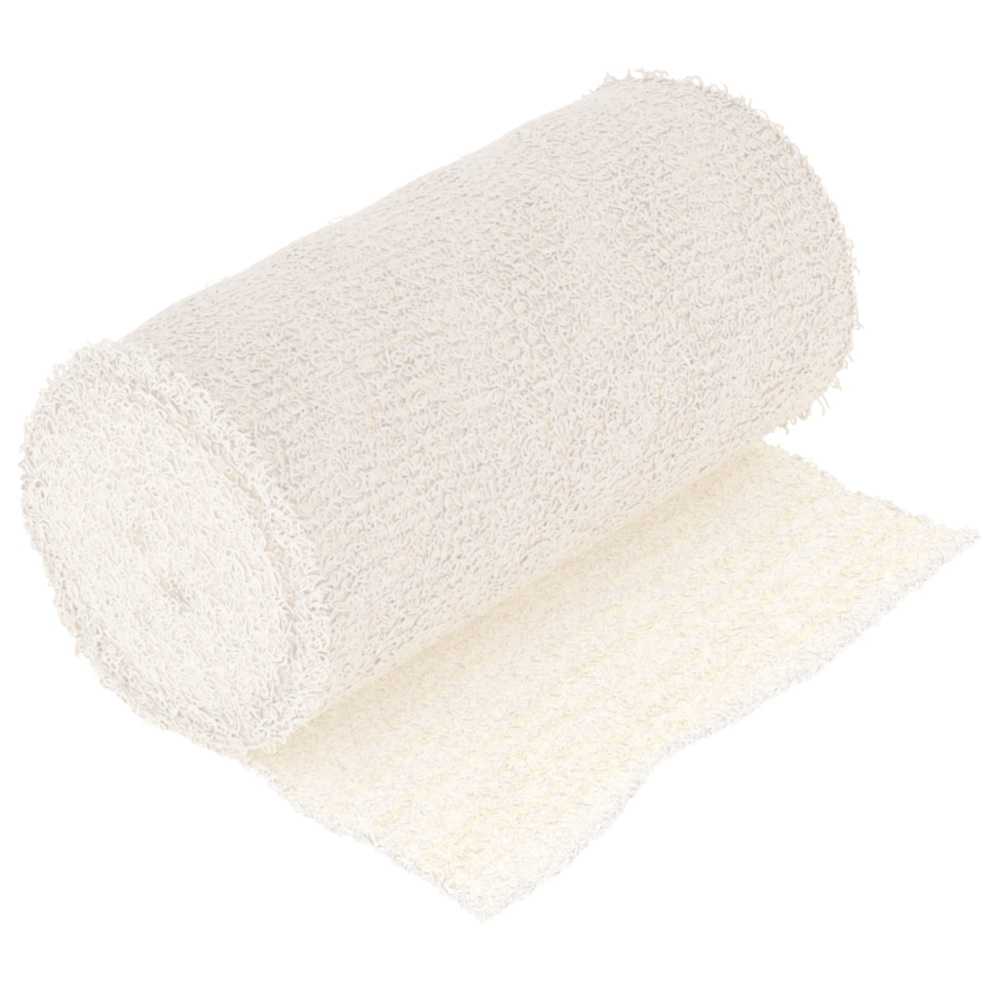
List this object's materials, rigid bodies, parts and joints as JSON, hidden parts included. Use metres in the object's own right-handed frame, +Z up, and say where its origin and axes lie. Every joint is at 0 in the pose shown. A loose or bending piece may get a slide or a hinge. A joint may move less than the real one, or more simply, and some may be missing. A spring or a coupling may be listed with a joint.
{
  "type": "crepe bandage roll",
  "caption": "Soft cotton crepe bandage wound into a cylindrical roll, with its ribbed loose end lying flat beside it, for wrapping and supporting a limb.",
  "frame": {"origin": "centre of the model's box on the surface that the bandage rests on", "axes": "+Z up, +Y along the roll's axis from the near end to the far end, +X towards the loose end"},
  "size_m": [0.081, 0.1028, 0.0544],
  "materials": {
    "roll_yarn": "unbleached off-white high-twist cotton crepe, matt and fuzzy",
    "loose_yarn": "the same cotton crepe as one open layer, paler and creamier"
  },
  "bodies": {
    "root": {"wound_roll": "roll_yarn", "loose_end": "loose_yarn"}
  },
  "joints": []
}
